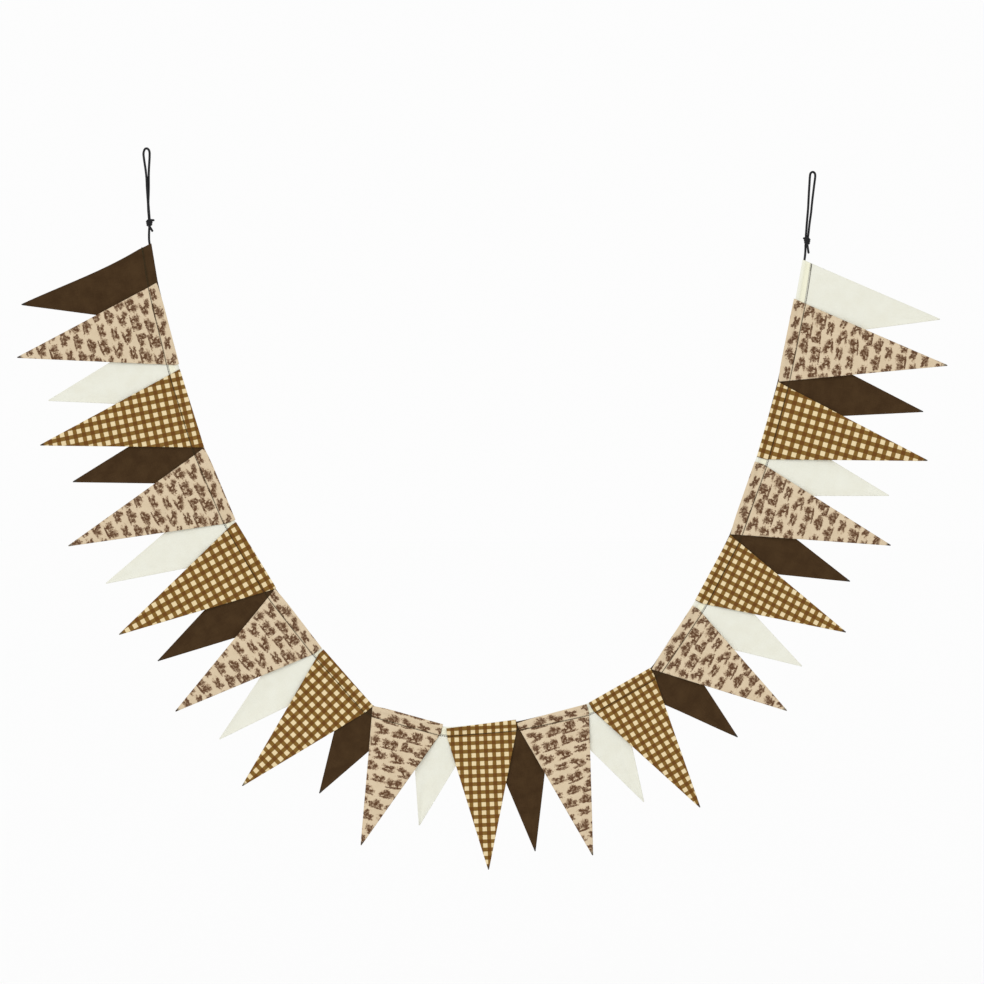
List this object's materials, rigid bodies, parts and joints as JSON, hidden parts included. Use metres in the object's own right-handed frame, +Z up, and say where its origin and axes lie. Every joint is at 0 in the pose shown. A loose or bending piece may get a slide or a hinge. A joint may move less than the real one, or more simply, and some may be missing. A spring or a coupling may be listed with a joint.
{
  "type": "fabric bunting",
  "caption": "Two overlapping rows of triangular cloth pennants sewn along an elastic cord that hangs in a deep curve, with a knotted hanging loop at each end.",
  "frame": {"origin": "top of the space inside the left hanging loop, where it bears on what holds it", "axes": "+X along the bunting's width from the left loop to the right end, +Y away from the side with the front row, +Z up"},
  "size_m": [1.4889, 0.0169, 1.1558],
  "materials": {
    "printed_cloth": "beige cotton with a brown figured print",
    "checked_cloth": "golden-brown and cream woven check",
    "brown_cloth": "plain dark brown cotton, matt",
    "cream_cloth": "plain cream cotton, matt",
    "black_cord": "black braided elastic cord"
  },
  "bodies": {
    "root": {"toile_1": "printed_cloth", "toile_2": "printed_cloth", "toile_3": "printed_cloth", "toile_4": "printed_cloth", "toile_5": "printed_cloth", "toile_6": "printed_cloth", "toile_7": "printed_cloth", "toile_8": "printed_cloth", "gingham_1": "checked_cloth", "gingham_2": "checked_cloth", "gingham_3": "checked_cloth", "gingham_4": "checked_cloth", "gingham_5": "checked_cloth", "gingham_6": "checked_cloth", "gingham_7": "checked_cloth", "brown_1": "brown_cloth", "brown_2": "brown_cloth", "brown_3": "brown_cloth", "brown_4": "brown_cloth", "brown_5": "brown_cloth", "brown_6": "brown_cloth", "brown_7": "brown_cloth", "brown_8": "brown_cloth", "cream_1": "cream_cloth", "cream_2": "cream_cloth", "cream_3": "cream_cloth", "cream_4": "cream_cloth", "cream_5": "cream_cloth", "cream_6": "cream_cloth", "cream_7": "cream_cloth", "cream_8": "cream_cloth", "casing_cord": "black_cord", "left_stem": "black_cord", "right_stem": "black_cord", "left_knot": "black_cord", "right_knot": "black_cord", "left_loop": "black_cord", "right_loop": "black_cord"}
  },
  "joints": []
}
